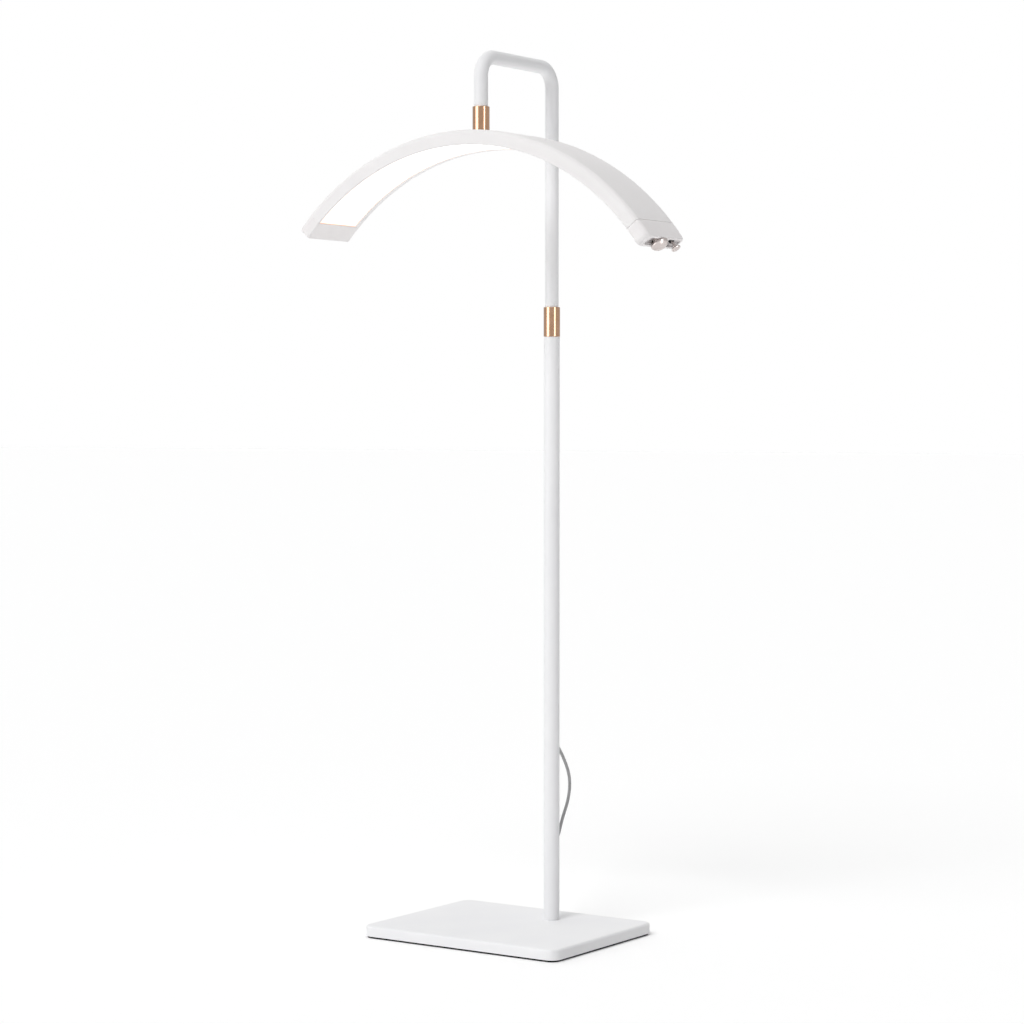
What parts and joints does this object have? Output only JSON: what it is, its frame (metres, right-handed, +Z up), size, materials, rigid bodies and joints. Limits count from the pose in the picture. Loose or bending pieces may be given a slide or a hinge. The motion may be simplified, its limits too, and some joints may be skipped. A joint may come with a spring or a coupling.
{
  "type": "adjustable arm floor lamp",
  "caption": "White floor lamp: flat rectangular base, telescopic pole bent into a short arm, brass collars, and an arched LED head with a dimmer knob and a toggle in one end.",
  "frame": {"origin": "on the floor, under the pole's axis", "axes": "+Z up along the pole; +X along the arch towards its control end; the arm and the head hang towards -Y"},
  "size_m": [0.6465, 0.321, 1.3773],
  "materials": {
    "white_powder_coat": "fine smooth white powder coat, satin",
    "white_head_paint": "smooth white paint on extruded aluminium, satin",
    "white_cap_plastic": "moulded white ABS, satin",
    "brushed_brass": "lacquered brass, turned",
    "opal_diffuser": "opal acrylic, lit",
    "satin_nickel": "satin nickel plate",
    "grey_cable": "smooth grey PVC jacket",
    "grommet_rubber": "light grey soft rubber",
    "pad_foam": "black EVA foam, closed cells",
    "raw_steel": "rolled mild steel, oiled",
    "zinc_steel": "bright zinc plate",
    "aluminium": "mill finish aluminium",
    "board": "white solder mask on circuit board",
    "led": "phosphor on white package",
    "nylon": "natural nylon, moulded",
    "black_plastic": "black moulded plastic",
    "dark_nylon": "graphite-filled nylon, moulded"
  },
  "bodies": {
    "base": {"base_cover": "white_powder_coat", "base_underplate": "raw_steel", "base_screws": "zinc_steel", "anti_slip_pad": "pad_foam", "ballast_plate": "raw_steel", "foot_bolt": "zinc_steel", "foot_plug": "raw_steel", "power_inlet": "black_plastic", "lower_tube": "white_powder_coat", "grommet_upper": "grommet_rubber", "grommet_lower": "grommet_rubber", "cable_loop": "grey_cable"},
    "lock_collar": {"lock_collar": "brushed_brass"},
    "clamp_sleeve": {"clamp_sleeve": "nylon"},
    "mast": {"mast_tube": "white_powder_coat", "mast_lead": "grey_cable", "mast_guide": "nylon", "swivel_collar": "brushed_brass", "pivot_bush": "nylon"},
    "head": {"arch_housing": "white_head_paint", "diffuser": "opal_diffuser", "heat_spreader": "aluminium", "led_strip_front": "board", "led_strip_rear": "board", "leds_front": "led", "leds_rear": "led", "mount_plate": "raw_steel", "pivot_spindle": "zinc_steel", "spindle_top_nut": "zinc_steel", "spindle_head_nut": "zinc_steel", "friction_washer": "dark_nylon", "end_cap_plain": "white_cap_plastic", "end_cap_control": "white_cap_plastic", "dimmer_body": "black_plastic", "switch_body": "black_plastic", "control_board": "board"},
    "dimmer_knob": {"dimmer_knob": "satin_nickel"},
    "toggle_lever": {"toggle_lever": "satin_nickel"}
  },
  "joints": [
    {"name": "collar_twist", "type": "hinge", "parent": "base", "child": "lock_collar", "pos_m": [0, 0, 0.968], "axis": [0, 0, 1], "range_deg": [0, 120]},
    {"name": "mast_turn", "type": "hinge", "parent": "base", "child": "clamp_sleeve", "pos_m": [0, 0, 0.98], "axis": [0, 0, 1], "range_deg": [-170, 170]},
    {"name": "height_slide", "type": "slide", "parent": "clamp_sleeve", "child": "mast", "axis": [0, 0, 1], "range_m": [-0.22, 0.28]},
    {"name": "head_swivel", "type": "hinge", "parent": "mast", "child": "head", "pos_m": [0, -0.1945, 1.26], "axis": [0, 0, 1], "range_deg": [-60, 60]},
    {"name": "dimmer_turn", "type": "hinge", "parent": "head", "child": "dimmer_knob", "pos_m": [0.31738, -0.2045, 1.07671], "axis": [0.5821, 0, -0.8131], "range_deg": [0, 270]},
    {"name": "toggle_tilt", "type": "hinge", "parent": "head", "child": "toggle_lever", "pos_m": [0.31768, -0.1635, 1.07631], "axis": [0, 1, 0], "range_deg": [-12, 12]}
  ]
}
